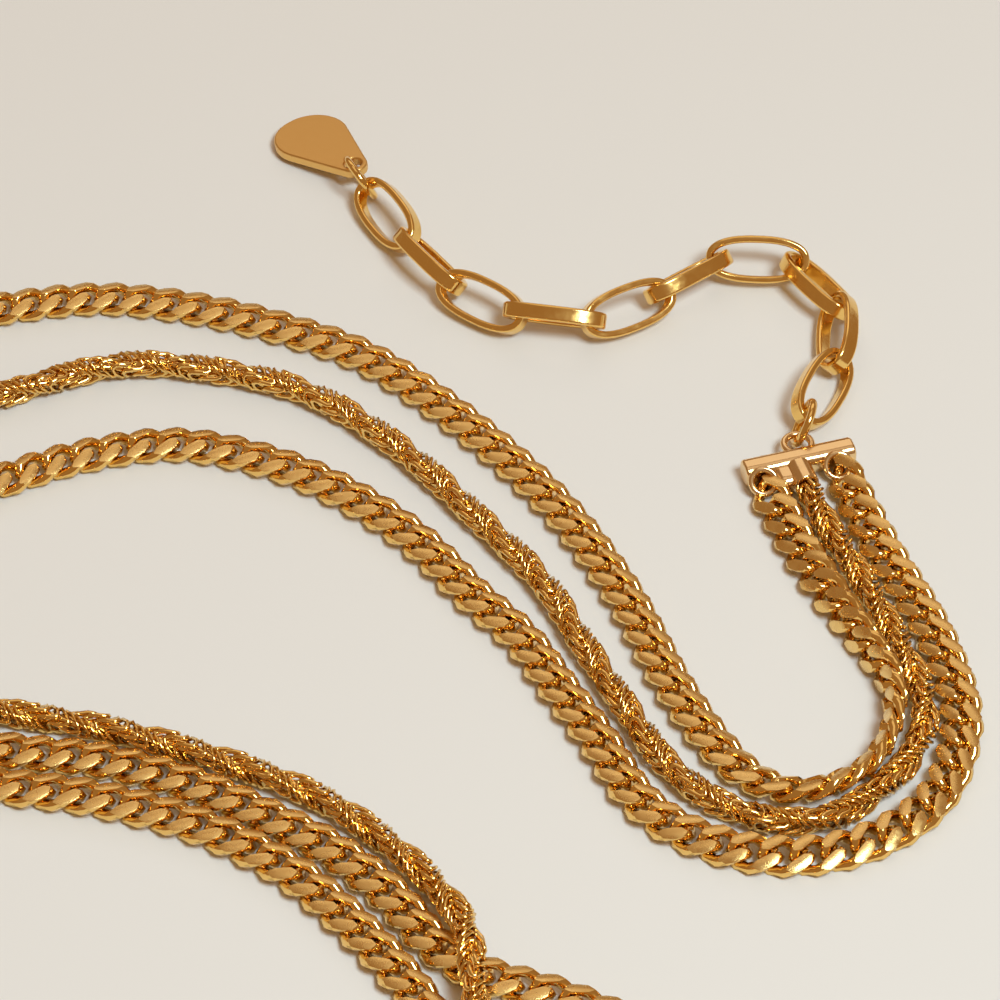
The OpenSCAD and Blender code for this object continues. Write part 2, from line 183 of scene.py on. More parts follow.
# %% [markdown]
# ## Surfaces from arrays
#
# Every piece below is a grid of points: rows along the piece, columns around it. The grid
# becomes a mesh in one go. The true direction of the surface at each corner is given to the
# mesh too, so a wire of six sides still shades as a round one beside a crisp filed face.

# %% Grid helpers
def quads(rows, columns, close_rows=False, close_columns=True):
    """Corner numbers of the faces of a grid, wrapped round where it is closed."""
    i = np.arange(rows if close_rows else rows - 1)[:, None]
    k = np.arange(columns if close_columns else columns - 1)[None, :]
    i2, k2 = (i + 1) % rows, (k + 1) % columns
    f = np.stack([i*columns + k, i*columns + k2, i2*columns + k2, i2*columns + k], -1)
    return f.reshape(-1, 4)


def unit(v):
    """Vectors divided by their own length."""
    return v/np.maximum(np.linalg.norm(v, axis=-1, keepdims=True), 1e-12)


def outward(points, faces, directions):
    """Faces turned so that they look the way of their corner directions."""
    p = points[faces]
    look = np.cross(p[:, 2] - p[:, 0], p[:, 3] - p[:, 1])
    if (look*directions.mean(1)).sum() < 0:
        faces, directions = faces[:, ::-1], directions[:, ::-1]
    return faces, directions


def piece(name, points, faces, materials, index=None, normals=None, replaces=(), smooth=True):
    """A mesh from points in the laid millimetres, riding on the one body."""
    mesh = bpy.data.meshes.new(name)
    p = (np.asarray(points, float).reshape(-1, 3) - MIDDLE)*MM
    f = np.asarray(faces, np.int32)
    n = f.shape[1]
    mesh.vertices.add(len(p))
    mesh.vertices.foreach_set("co", p.astype(np.float32).ravel())
    mesh.loops.add(f.size)
    mesh.loops.foreach_set("vertex_index", f.ravel())
    mesh.polygons.add(len(f))
    mesh.polygons.foreach_set("loop_start", np.arange(0, f.size, n, dtype=np.int32))
    for m in materials:
        mesh.materials.append(m)
    if index is not None:
        mesh.polygons.foreach_set("material_index", np.asarray(index, np.int32))
    mesh.polygons.foreach_set("use_smooth", np.full(len(f), smooth))
    mesh.update(calc_edges=True)
    mesh.validate()
    if normals is not None:
        mesh.normals_split_custom_set(np.asarray(normals, np.float32).reshape(-1, 3).tolist())
    o = bpy.data.objects.new(name, mesh)
    bpy.context.scene.collection.objects.link(o)
    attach(o, "root")
    for r in replaces:
        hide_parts(r)
    print(name, "faces", len(f))
    return o


def smooth_route(route, steps=8):
    """A curve through the rows: between two rows, the cubic that leaves each row along the
    line between its two neighbours."""
    r = np.asarray(route, float)
    q = np.vstack([2*r[0] - r[1], r, 2*r[-1] - r[-2]])
    a, b, c, d = (v[:, None] for v in (q[:-3], q[1:-2], q[2:-1], q[3:]))
    t = (np.arange(steps)/steps)[None, :, None]
    p = b + 0.5*t*(c - a + t*(2*a - 5*b + 4*c - d + t*(3*b - 3*c + d - a)))
    return np.vstack([p.reshape(-1, r.shape[1]), r[-1:]])


def walked(line):
    """Length walked along a line to each of its points."""
    return np.concatenate([[0], np.cumsum(np.linalg.norm(np.diff(line[:, :3], axis=0), axis=1))])


def at(line, s):
    """Rows of the line at the lengths s along it."""
    w = walked(line)
    return np.stack([np.interp(s, w, line[:, c]) for c in range(line.shape[1])], -1)


def axes(along, roll):
    """Along, side and top directions: level across the path, then rolled about it."""
    along = unit(along)
    left = unit(np.stack([-along[..., 1], along[..., 0], 0*along[..., 0]], -1))
    up = np.cross(along, left)
    c, s = np.cos(roll)[..., None], np.sin(roll)[..., None]
    return np.stack([along, left*c + up*s, up*c - left*s], -2)


# %% [markdown]
# ## Where the strands lie
#
# The rows are x, y in millimetres on the table, the bank of the strand in degrees, and how far
# it is lifted, where it lies on another strand. They are the rows of the solid model, apart from
# two places at the bars: the inner strand leaves the front bar less banked, and both ferrules sit
# 0.3 mm lower.

# %% Routes
BAR_L, BAR_W, BAR_H = 11.2, 2.4, 2.4
EYELET_D, EYELET_BORE, EYELET_LEAN = 3.0, 2.4, math.radians(15)
EYELET_OUT, FERRULE_Z, LOOP_Z = 1.6, 1.4, 1.6
FERRULE_D, FERRULE_L, ROPE_SEAT, ROPE_D = 2.6, 2.4, 1.4, 2.8
LOOP_D, LOOP_WIRE, LOOP_AT, LOOP_OUT = 3.4, 0.7, 0.6, 0.75
END_AT = (-4.2, -0.4, 3.4)
BAR_FRONT = (28.8, 4.05, 17)
BAR_BACK = (86, -97, -90)
# the curb link is 0.14 mm longer and 0.05 mm wider here than in the model, and its wire 0.1 mm more
CURB_L, CURB_W, CURB_THICK, CURB_WIRE, CURB_PLAY, CURB_TWIST = 5.44, 4.15, 1.65, 1.2, 0.24, 57
LIP_R, LIP_WALL = (EYELET_D + EYELET_BORE)/4, (EYELET_D - EYELET_BORE)/2
LIP_OUT = EYELET_OUT + LIP_R*math.cos(EYELET_LEAN)
FERRULE_OUT = BAR_W/2 + FERRULE_L - ROPE_SEAT


def by_bar(bar, along, behind):
    """A point beside a bar: along its long side, and behind its middle."""
    h = math.radians(bar[2])
    return [bar[0] + along*math.cos(h) - behind*math.sin(h),
            bar[1] + along*math.sin(h) + behind*math.cos(h)]


OUTER_ROUTE = [
    by_bar(BAR_FRONT, END_AT[2], -LIP_OUT) + [45, 0],
    [34.5, -3, 34, 0], [36.6, -9, 21, 0], [38.9, -14.5, 14, 0], [40.9, -20.5, 12, 0],
    [42.4, -28, 12, 0], [41.9, -33.5, 8, 0], [40, -38.7, 2, 0], [36.5, -42.8, -6, 0],
    [31.5, -45.7, -12, 0], [26, -46.7, -14, 0], [20.5, -45.7, -12, 0], [15.5, -43, -6, 0],
    [12, -38.9, 0, 0], [9, -32.5, 0, 0], [5.5, -26, 0, 0], [2, -19.5, 0, 0], [-2.5, -14, 0, 0],
    [-8, -6.5, 0, 0], [-14.5, -0.5, 0, 0], [-22, 4, 0, 0], [-31, 6.5, 0, 0], [-40, 5, 0, 0],
    [-48, 1.5, 0, 0], [-54.5, -2.5, 0, 0], [-59, -8.5, 0, 0], [-60.5, -15.5, 0, 0],
    [-59, -22.5, 0, 0], [-54, -29.5, 0, 0], [-46, -33.5, 0, 0], [-36.5, -35, 0, 0],
    [-28, -38, 0, 0], [-21, -42, 0, 0], [-15, -46, 0, 0], [-9.8, -51.3, 0, 0], [-5.9, -56.9, 0, 0],
    [-1.5, -60.5, 0, 0], [5, -63, 0, 0], [12.5, -67, 0, 0], [21, -72.5, 0, 0],
    [30, -78.5, 0, 0], [40, -84, 0, 0], [51, -88.5, 0, 0], [63, -91.5, -8, 0], [75, -93, -24, 0],
    by_bar(BAR_BACK, END_AT[0], -LIP_OUT) + [-45, 0]]
ROPE_ROUTE = [
    by_bar(BAR_FRONT, END_AT[1], -FERRULE_OUT) + [0, FERRULE_Z - ROPE_D/2],
    by_bar(BAR_FRONT, END_AT[1], -FERRULE_OUT - ROPE_SEAT) + [0, FERRULE_Z - ROPE_D/2],
    [31.1, -4.5, 0, 0], [34.1, -12, 0, 0], [37, -20, 0, 0], [39, -27.5, 0, 0], [38, -33.5, 0, 0],
    [34.5, -38.5, 0, 0], [30, -42, 0, 0], [25, -42.5, 0, 0], [20, -40.5, 0, 0],
    [15.5, -36, 0, 0], [12, -29.5, 0, 0], [7.5, -20, 0, 0], [4, -12.5, 0, 0], [-2, -4, 0, 0],
    [-9.5, 5.5, 0, 0], [-18, 13, 0, 0], [-27, 16.5, 0, 0], [-37, 17.5, 0, 0], [-47, 14, 0, 0],
    [-56.5, 9, 0, 0], [-63, 2, 0, 0], [-66.5, -6.5, 0, 0], [-66, -14.5, 0, 0.3],
    [-63.5, -20, 0, 1.5], [-60, -23.5, 0, 2.1], [-55.5, -26, 0, 2.1], [-51, -27.8, 0, 1],
    [-46, -29, 0, 0], [-34.9, -31.7, 0, 0], [-23.9, -35.9, 0, 0], [-15.5, -40.5, 0, 0],
    [-8.5, -47, 0, 0], [-4.5, -53, 0, 0.7], [-3, -57, 0, 1.7], [-2.5, -61, 0, 2.1], [-2, -65, 0, 1.5],
    [-0.5, -69.5, 0, 0.4], [3.5, -74.5, 0, 0], [12, -79.5, 0, 0], [24, -84.5, 0, 0],
    [37, -89.5, 0, 0], [50, -93.5, 0, 0], [64, -96, 0, 0], [75, -97, 0, 0],
    by_bar(BAR_BACK, END_AT[1], -FERRULE_OUT - ROPE_SEAT) + [0, FERRULE_Z - ROPE_D/2],
    by_bar(BAR_BACK, END_AT[1], -FERRULE_OUT) + [0, FERRULE_Z - ROPE_D/2]]
INNER_ROUTE = [
    by_bar(BAR_FRONT, END_AT[0], -LIP_OUT) + [18, 0],
    [26.8, -3, 20, 0], [28.6, -8.1, 18, 0], [31.1, -14.4, 50, 0], [33.9, -20.5, 68, 0],
    [36.1, -26, 76, 0], [35.7, -31.7, 72, 0], [33, -36.4, 52, 0], [28, -38.8, 30, 0],
    [23.5, -37.5, 15, 0], [20, -33.5, 5, 0], [16, -25.5, 0, 0], [11.5, -13.5, 0, 0],
    [5.5, -2, 0, 0], [-2.5, 8.5, 0, 0], [-12, 18, 0, 0], [-20, 22.5, 0, 0], [-30, 26, 0, 0],
    [-40, 27.5, 0, 0], [-50, 26, 0, 0], [-60, 23.5, 0, 0], [-69, 18, 0, 0], [-75, 10, 0, 0],
    [-78, 0.5, 0, 0], [-77.5, -10, 0, 0], [-74, -19.5, 0, 0], [-67.5, -28.5, 0, 0],
    [-58, -35, 0, 0], [-46, -38, 0, 0], [-36.6, -39.7, 0, 0], [-27.2, -43, 0, 0],
    [-19.5, -47.9, 0, 0], [-14.3, -53.2, 0, 0], [-9.3, -59.8, 0, 0], [-6, -65.5, 0, 0],
    [-4, -72, 0, 0], [0, -78.5, 0, 0], [8, -84.5, 0, 0], [21, -90, 0, 0], [36, -95, 0, 0],
    [52, -98.5, 0, 0], [64, -100.2, -8, 0], [75, -100.8, -22, 0],
    by_bar(BAR_BACK, END_AT[2], -LIP_OUT) + [-45, 0]]

# %% [markdown]
# ## Curb chain
#
# A curb link starts as an oval wire ring. It is twisted, so that the chain lies flat, and then
# the whole chain is drawn under a file: the high parts of every link become flat leaf shaped
# faces. The ring is a grid, turned about its long axis in proportion to the distance from the
# middle. Where its wire stands higher than the file's plane, the two upper points of the wire's
# section sit exactly on that plane, so the filed face has a sharp edge all round.

# %% Curb link
LINK_A, LINK_B = (CURB_L - CURB_WIRE)/2, (CURB_W - CURB_WIRE)/2
CURB_SQUARE = 0.88
# slope of the filed faces, the share of the half width at which they stand at the strand's own
# thickness, and from these the distance of their plane from the middle of the link
CURB_ROOF = math.radians(15.5)
FILE_SHARE = 0.72
FILE_AT = FILE_SHARE*LINK_B*math.sin(CURB_ROOF) + CURB_THICK/2*math.cos(CURB_ROOF)
# how far the filed faces are rounded over towards their edges by the final polish
LEAF_CROWN = 0.36


def link_core(t):
    """Middle line of the wire: a squarish ring, each end turned out of the plane."""
    x = LINK_A*np.sign(np.cos(t))*np.abs(np.cos(t))**CURB_SQUARE
    w = LINK_B*np.sign(np.sin(t))*np.abs(np.sin(t))**CURB_SQUARE
    k = -np.radians(CURB_TWIST)*x/LINK_A
    return np.stack([x, w*np.cos(k), w*np.sin(k)], -1)


def link_frame(t):
    """Middle of the wire, and the level and the upright direction across it, at the angles t."""
    core = link_core(t)
    along = unit(link_core(t + 0.03) - link_core(t - 0.03))
    out = unit(np.stack([along[:, 1], -along[:, 0], 0*t], -1))
    over = np.cross(out, along)
    return core, out, over*np.sign(over[:, 2:3])


def file_cut(core, out, over, face):
    """Angle round the wire that faces the file, and half the angle that it takes away: the
    arc whose cosine is the distance from the wire's middle to the file's plane, divided by the
    wire's radius. The plane slopes by CURB_ROOF down to the strand's edge; face is 1 for the
    upper side of the link and -1 for the lower side."""
    lean = np.clip(core[:, 1]/(0.4*LINK_B), -1, 1)*math.sin(CURB_ROOF)
    plane = unit(np.stack([0*lean, lean, face*math.cos(CURB_ROOF) + 0*lean], -1))
    near = (plane*out).sum(-1), (plane*over).sum(-1)
    reach = FILE_AT - (plane*core).sum(-1)
    depth = reach/(CURB_WIRE/2*np.hypot(*near))
    return np.arctan2(near[1], near[0]), np.arccos(np.clip(depth, -1, 1)), plane


def curb_link():
    """Points of one link, its faces, the corner directions and which faces are filed.
    Sections stand close together along the two faces that are filed on top, and wider apart
    elsewhere. A section is a circle of the wire's radius; two of its points are where the
    circle meets the file's plane, so the filed face is a leaf that ends in a point where the
    wire dips under the plane."""
    t = np.linspace(math.pi/2, math.pi, 721)
    proud = t[file_cut(*link_frame(t), 1)[1] > 0.02]
    ta, tb = proud[0], proud[-1]
    leaf = ta + (tb - ta)*np.array([0, 0.16, 0.5, 0.84, 1.0])
    half = np.concatenate([[0], math.pi - leaf[[4, 2, 0]], [math.pi/2], leaf])
    t = np.concatenate([half, half + math.pi])
    on_top = np.array([0, 0, 0, 0, 0, 1, 1, 1, 1, 0]*2, bool)
    core, out, over = link_frame(t)
    up = core[:, 2] > -1e-6
    middle, width = [], []
    for face, filed in ((1, up), (-1, ~up)):
        phi, delta, plane = file_cut(core, out, over, face)
        middle.append(np.where(filed, phi % (2*math.pi), math.pi*(1 - face/2)))
        width.append(np.where(filed, np.maximum(delta, 0.14), 0.52))
        if face == 1:
            top_plane = plane
    top, bottom = middle
    a, b = width
    side_in = (top + a + bottom - b)/2
    side_out = (top - a + bottom + b)/2 - math.pi
    angle = np.stack([side_out, top - a, top + a, side_in, bottom - b, bottom + b], -1)
    ring = np.cos(angle)[..., None]*out[:, None] + np.sin(angle)[..., None]*over[:, None]
    points = (core[:, None] + CURB_WIRE/2*ring).reshape(-1, 3)
    f = quads(len(t), 6, close_rows=True)
    direction = ring.reshape(-1, 3)[f]
    is_filed = np.zeros((len(t), 6), bool)
    is_filed[:, 1] = on_top
    is_filed = is_filed.ravel()
    flat = np.repeat(top_plane[:, None], 6, 1).reshape(-1, 3)[f][is_filed]
    direction[is_filed] = unit(flat + LEAF_CROWN*direction[is_filed])
    return (points,) + outward(points, f, direction) + (is_filed,)


link_points, link_faces, link_directions, link_filed = curb_link()
print("curb link", len(link_faces), "faces,", int(link_filed.sum()), "filed")

# %% [markdown]
# ## Curb strands
#
# A strand is the one link placed at equal steps along its route, each turned to the run and the
# bank there. Placing one grid with array sums is far quicker than making each link anew.

# %% Curb strands
def curb_strand(name, route, replaces):
    """A chain of curb links: one grid placed at equal steps along the route."""
    line = smooth_route(route)
    roll = np.radians(line[:, 2])
    rest = -(link_points[:, 1]*np.sin(roll)[:, None] + link_points[:, 2]*np.cos(roll)[:, None]).min(1)
    path = np.stack([line[:, 0], line[:, 1], line[:, 3] + rest, roll], -1)
    hook = LINK_A - CURB_WIRE/2 - LIP_WALL/2 - CURB_PLAY
    length = walked(path)[-1]
    pitch = CURB_L - 2*CURB_WIRE - CURB_PLAY
    count = int(round((length - 2*hook)/pitch)) + 1
    s = hook + np.arange(count)*(length - 2*hook)/(count - 1)
    rows = at(path, s)
    turn = axes(at(path, s + LINK_A)[:, :3] - at(path, s - LINK_A)[:, :3], rows[:, 3])
    points = rows[:, None, :3] + link_points @ turn
    faces = link_faces[None] + (np.arange(count)*len(link_points))[:, None, None]
    directions = np.einsum("fcd,nde->nfce", link_directions, turn)
    print(name, "length", round(length, 1), "links", count)
    return piece(name, points, faces.reshape(-1, 4), [polished, filed], np.tile(link_filed, count),
                 directions, replaces)


curb_strand("curb_strand_outer", OUTER_ROUTE, ("curb_outer_near", "curb_outer_far"))
curb_strand("curb_strand_inner", INNER_ROUTE, ("curb_inner",))

# %% [markdown]
# ## Rope chain
#
# The middle strand is plaited from rings: each oval ring is folded into a narrow V, and the next
# ring passes through both of its ends. The flat plait is then twisted about itself, so its face,
# with the V pattern, and its edge, with the row of ring ends, come round in turn. One ring is a
# thin tube along a folded oval. It is repeated at a small step and turned a little each time.

# %% Rope ring
RING_WIRE, RING_HALF, RING_HIGH, RING_FOLD = 0.46, 1.17, 0.82, 2.2
RING_STEP, ROPE_TURN, RING_BEND = 1.12, 13.9, 1.7


def rope_ring(sides=16, around=5):
    """Points and faces of one folded ring. The wire goes out to the sides as the sine of the
    angle and forward as that distance to the power RING_BEND, so it is a V. Above and below, it
    follows two round lobes side by side, with a groove between them."""
    t = 2*np.pi*np.arange(sides)/sides

    def core(t):
        s, c = np.sin(t), np.cos(t)
        u = np.sqrt(s*s + 0.01)/math.sqrt(1.01)
        lobe = np.sqrt(np.clip(1 - (2*u - 1)**2, 0, 1))
        z = np.sign(c)*np.minimum(0.3*(1 - u) + lobe, 1)
        return np.stack([RING_FOLD*u**RING_BEND, RING_HALF*s, RING_HIGH*z], -1)

    along = unit(core(t + 0.1) - core(t - 0.1))
    middle = core(t)
    out = unit(np.cross(along, np.array([1.0, 0.05, 0.03])))
    over = np.cross(out, along)
    a = 2*np.pi*(np.arange(around) + 0.5)/around
    ring = np.cos(a)[None, :, None]*out[:, None] + np.sin(a)[None, :, None]*over[:, None]
    points = (middle[:, None] + RING_WIRE/2*ring).reshape(-1, 3)
    f = quads(sides, around, close_rows=True)
    return (points,) + outward(points, f, ring.reshape(-1, 3)[f])


ring_points, ring_faces = rope_ring()[:2]
rope_line = smooth_route(ROPE_ROUTE)
rope_path = np.stack([rope_line[:, 0], rope_line[:, 1], rope_line[:, 3] + ROPE_D/2], -1)
rope_length = walked(rope_path)[-1]


def twisted(s, local):
    """Points of the plait at the lengths s along it: each is turned by the twist at its own
    place along the rope, and drawn in near the two ferrules."""
    here = s[:, None] + local[..., 0]
    near_end = np.clip(np.minimum(here - 0.3, rope_length - 0.3 - here)/2.2, 0, 1)
    narrow = 0.6 + 0.4*near_end**0.7
    twist = 2*np.pi*here/ROPE_TURN
    y = narrow*(local[..., 1]*np.cos(twist) - local[..., 2]*np.sin(twist))
    z = narrow*(local[..., 1]*np.sin(twist) + local[..., 2]*np.cos(twist))
    turn = axes(at(rope_path, s + 0.8) - at(rope_path, s - 0.8), 0*s)
    return at(rope_path, s)[:, None] + np.stack([local[..., 0], y, z], -1) @ turn


ring_s = np.arange(0.3, rope_length - RING_FOLD - 0.3, RING_STEP)
ring_all = twisted(ring_s, np.broadcast_to(ring_points, (len(ring_s),) + ring_points.shape))
ring_all_faces = ring_faces[None] + (np.arange(len(ring_s))*len(ring_points))[:, None, None]
piece("rope_chain", ring_all, ring_all_faces.reshape(-1, 4), [polished], replaces=("rope_strand",))

# the wires that lie inside the plait, as one twisted body that the eye can't see between
CORE_HALF, CORE_HIGH = 0.86, 0.56
core_s = np.arange(0.4, rope_length - 0.4, 0.9)
core_turn = 2*np.pi*np.arange(8)/8
core_ring = np.stack([0*core_turn, CORE_HALF*np.cos(core_turn), CORE_HIGH*np.sin(core_turn)], -1)
core_points = twisted(core_s, np.broadcast_to(core_ring, (len(core_s),) + core_ring.shape))
core_faces = np.concatenate([quads(len(core_s), 8),
                             [[0, 1, 6, 7], [1, 2, 5, 6], [2, 3, 4, 5]],
                             8*(len(core_s) - 1) + np.array([[7, 6, 1, 0], [6, 5, 2, 1], [5, 4, 3, 2]])])
piece("rope_core", core_points, core_faces, [polished])
print("rope length", round(rope_length, 1), "rings", len(ring_s))

# %% [markdown]
# ## Strip, wire and plate
#
# The fittings are bent or turned from a few sections. A section is a rounded rectangle with the
# direction of its surface at each point: the flats stay flat and only the corners shade round.
# It is carried round a closed path, which gives a link, a ring or a short tube, or along a
# straight one, which gives the bar. Several of them make one soldered piece.

# %% Sections and paths
def section(wide, high, corner, steps=3):
    """A rounded rectangle: quarter circles about the four corner middles. Gives its points and
    their directions, both as across and up."""
    a = np.concatenate([q*math.pi/2 + np.linspace(0, math.pi/2, steps) for q in range(4)])
    d = np.stack([np.cos(a), np.sin(a)], -1)
    sx = np.repeat([1, -1, -1, 1], steps)*(wide/2 - corner)
    sy = np.repeat([1, 1, -1, -1], steps)*(high/2 - corner)
    return np.stack([sx, sy], -1) + corner*d, d


def hoop(path, shape, up=(0, 0, 1)):
    """A section carried round a closed flat path: across is level with the path's plane and
    square to its run, up is the plane's own direction."""
    points, normals = shape
    up = np.array(up, float)
    run = np.roll(path, -1, 0) - np.roll(path, 1, 0)
    across = unit(np.cross(run, up))
    p = path[:, None] + points[None, :, :1]*across[:, None] + points[None, :, 1:]*up
    d = normals[None, :, :1]*across[:, None] + normals[None, :, 1:]*up
    f = quads(len(path), len(points), close_rows=True)
    p, d = p.reshape(-1, 3), d.reshape(-1, 3)
    return (p,) + outward(p, f, d[f])


def oval(half_long, half_wide, power=2.0, sides=48):
    """A flat closed curve: sine and cosine, each to the power 2/n, n being 2 for an ellipse."""
    t = 2*math.pi*(np.arange(sides) + 0.5)/sides
    c, s = np.cos(t), np.sin(t)
    return np.stack([half_long*np.sign(c)*np.abs(c)**(2/power),
                     half_wide*np.sign(s)*np.abs(s)**(2/power), 0*t], -1)


def rod(length, shape, edge=0.15, steps=4):
    """A section carried along x with closed ends. Towards an end the section draws in by the
    versed sine of the edge's angle and moves out by its sine, so the end's rim is round."""
    points, normals = shape
    a = np.linspace(math.pi/2, 0, steps)
    x = np.concatenate([-length/2 + edge*(1 - np.sin(a)), length/2 - edge*(1 - np.sin(a[::-1]))])
    inset = edge*(1 - np.cos(np.concatenate([a, a[::-1]])))
    lean = np.concatenate([-np.sin(a), np.sin(a[::-1])])
    keep = np.sqrt(1 - lean**2)
    yz = points[None] - inset[:, None, None]*normals[None]
    p = np.concatenate([np.broadcast_to(x[:, None, None], yz.shape[:2] + (1,)), yz], -1)
    d = np.concatenate([np.broadcast_to(lean[:, None, None], yz.shape[:2] + (1,)),
                        keep[:, None, None]*normals[None]], -1)
    n, m = len(points), len(x)
    f = quads(m, n)
    k = np.arange(n//2 - 1)
    lid = np.stack([k, k + 1, n - 2 - k, n - 1 - k], -1)
    p, d = p.reshape(-1, 3), d.reshape(-1, 3)
    f, d = outward(p, f, d[f])
    ends = [outward(p, lid + start, np.broadcast_to([way, 0.0, 0.0], (len(lid), 4, 3)))
            for start, way in ((0, -1), (n*(m - 1), 1))]
    return p, np.concatenate([f] + [e[0] for e in ends]), np.concatenate([d] + [e[1] for e in ends])


def turned(x=0.0, y=0.0, z=0.0):
    """The matrix that turns about x, then y, then z, in degrees, for rows of points."""
    m = np.eye(3)
    for k, angle in enumerate((x, y, z)):
        c, s = math.cos(math.radians(angle)), math.sin(math.radians(angle))
        i, j = ((1, 2), (2, 0), (0, 1))[k]
        step = np.eye(3)
        step[i, i], step[i, j], step[j, i], step[j, j] = c, s, -s, c
        m = m @ step
    return m


def moved(part, turn, shift=(0, 0, 0)):
    """A part turned and then shifted."""
    p, f, d = part
    return p @ turn + np.array(shift, float), f, d @ turn


def joined(parts):
    """Several parts as one mesh's points, faces and corner directions."""
    start = np.cumsum([0] + [len(q[0]) for q in parts[:-1]])
    return (np.concatenate([q[0] for q in parts]),
            np.concatenate([q[1] + k for q, k in zip(parts, start)]),
            np.concatenate([q[2] for q in parts]))


# %% [markdown]
# ## Extender
#
# Each link is a length of flat strip bent to a long oval and soldered shut. Link after link is
# turned by a quarter about its length and falls to one side, so one shows its opening and the
# next its band. The rows are x, y, heading, roll and lift, as in the solid model. The strip is
# 0.15 mm thicker here than in that model.

# %% Extender links
EXT_L, EXT_W, STRIP_W, STRIP_T = 10.4, 4.8, 1.6, 0.75
EXTENDER = [
    [-11.4, 38.9, -61, 43, 0], [-7, 31.8, -55, -48, 0], [-1.8, 25.9, -36, 41, 0],
    [5.4, 23.5, -10, -48, 0.2], [12.7, 24.8, 30, 45, 0], [18.8, 29.5, 37.5, -45.5, 0],
    [25.8, 31.8, -3, 50, 0.2], [31.7, 28.5, -57, -32.5, 0], [33.3, 21.2, -93, 48.5, 0],
    [31.5, 13.4, -114, -38, 0]]
strip = section(STRIP_T, STRIP_W, 0.27, 4)
strip_hoop = hoop(oval((EXT_L - STRIP_T)/2, (EXT_W - STRIP_T)/2, 2.45), strip)
for number, (x, y, heading, roll, lift) in enumerate(EXTENDER, 1):
    rest = (EXT_W/2*abs(math.sin(math.radians(roll)))
            + STRIP_W/2*math.cos(math.radians(roll)))
    p, f, d = moved(strip_hoop, turned(x=roll, z=heading), (x, y, rest + lift))
    piece("extender_%d" % number, p, f, [rolled], None, d, ("extender_link_%d" % number,))

# %% [markdown]
# ## Rings
#
# A jump ring is round wire bent to a circle. Three of them join the larger pieces, each standing
# on its edge. Two lean to one side, and the hidden one by the clasp stands upright.

# %% Rings
def ring_of_wire(outside, wire):
    """A circle of round wire in the plane of x and y."""
    r = (outside - wire)/2
    return hoop(oval(r, r), section(wire, wire, wire/2 - 0.001, 4))


def standing(part, x, y, heading, lean, outside, wire):
    """A ring on its edge, turned to its heading, leaning by some degrees."""
    high = (outside - wire)/2*math.cos(math.radians(lean)) + wire/2
    return moved(part, turned(x=90 + lean, z=heading), (x, y, high))


RINGS = {"bar_ring": (29.43, 8.15, 80.4, 21.5, 5.2, 0.8), "tag_ring": (-14.2, 44.35, -64, 27, 5.4, 0.8),
         "clasp_ring": (90.03, -97.6, 0, 0, 5.2, 0.8)}
for node_name, (x, y, heading, lean, outside, wire) in RINGS.items():
    p, f, d = standing(ring_of_wire(outside, wire), x, y, heading, lean, outside, wire)
    piece(node_name + "_wire", p, f, [polished], None, d, (node_name,))

# %% [markdown]
# ## Tag
#
# The tag is a small blank plate like a pick: a narrow nose with the hole, a broad round end. Its
# outline is the line round two circles. The surface is one closed grid: up through the hole, out
# over the face, round the rim and back below.

# %% Tag
TAG_L, TAG_W, TAG_T, TAG_HOLE, TAG_NOSE, TAG_CORNER = 12.3, 7.8, 1.0, 1.8, 1.5, 3.7
TAG_AT = (-14.9, 46.5, 129, 8)


def tag_plate(sides=72):
    """Rows from the hole's lower edge round to it again. Each row is the hole's circle, the
    outline, or the middle of both. The rows of the rim and of the hole's edge round off the
    plate's corners by a quarter circle each."""
    a = 2*math.pi*(np.arange(sides) + 0.5)/sides
    d = np.stack([np.cos(a), np.sin(a)], -1)
    far = TAG_L - TAG_NOSE - TAG_CORNER
    middles = np.array([[0, 0], [far, TAG_W/2 - TAG_CORNER], [far, TAG_CORNER - TAG_W/2]])
    radii = np.array([TAG_NOSE, TAG_CORNER, TAG_CORNER])
    which = (middles @ d.T + radii[:, None]).argmax(0)
    edge = middles[which] + radii[which, None]*d
    hole = TAG_HOLE/2*d
    rows, slopes = [], []
    soft, t = 0.22, TAG_T
    for q in (0, 45, 90):
        c, s = math.cos(math.radians(q)), math.sin(math.radians(q))
        rows.append((hole + soft*(1 - c)*d, t - soft*(1 - s)))
        slopes.append((-c, s))
    rows.append((0.5*(hole + soft*d) + 0.5*(edge - soft*d), t))
    slopes.append((0, 1))
    for q in (90, 60, 30, 0):
        c, s = math.cos(math.radians(q)), math.sin(math.radians(q))
        rows.append((edge - soft*(1 - c)*d, t - soft*(1 - s)))
        slopes.append((c, s))
    for q in (0, 45, 90):
        c, s = math.cos(math.radians(q)), math.sin(math.radians(q))
        rows.append((edge - soft*(1 - c)*d, soft*(1 - s)))
        slopes.append((c, -s))
    for q in (90, 45, 0):
        c, s = math.cos(math.radians(q)), math.sin(math.radians(q))
        rows.append((hole + soft*(1 - c)*d, soft*(1 - s)))
        slopes.append((-c, -s))
    p = np.stack([np.concatenate([xy, np.full((sides, 1), z)], -1) for xy, z in rows])
    n = np.stack([np.concatenate([c*d, np.full((sides, 1), s)], -1) for c, s in slopes])
    f = quads(len(rows), sides, close_rows=True)
    p, n = p.reshape(-1, 3), n.reshape(-1, 3)
    return (p,) + outward(p, f, n[f])


hinge = TAG_L - TAG_NOSE
plate = moved(tag_plate(), np.eye(3), (-hinge, 0, 0))
plate = moved(moved(plate, turned(y=TAG_AT[3]), (hinge, 0, 0)), turned(z=TAG_AT[2]), TAG_AT[:2] + (0,))
piece("tag_plate", plate[0], plate[1], [satin], None, plate[2], ("tag",))

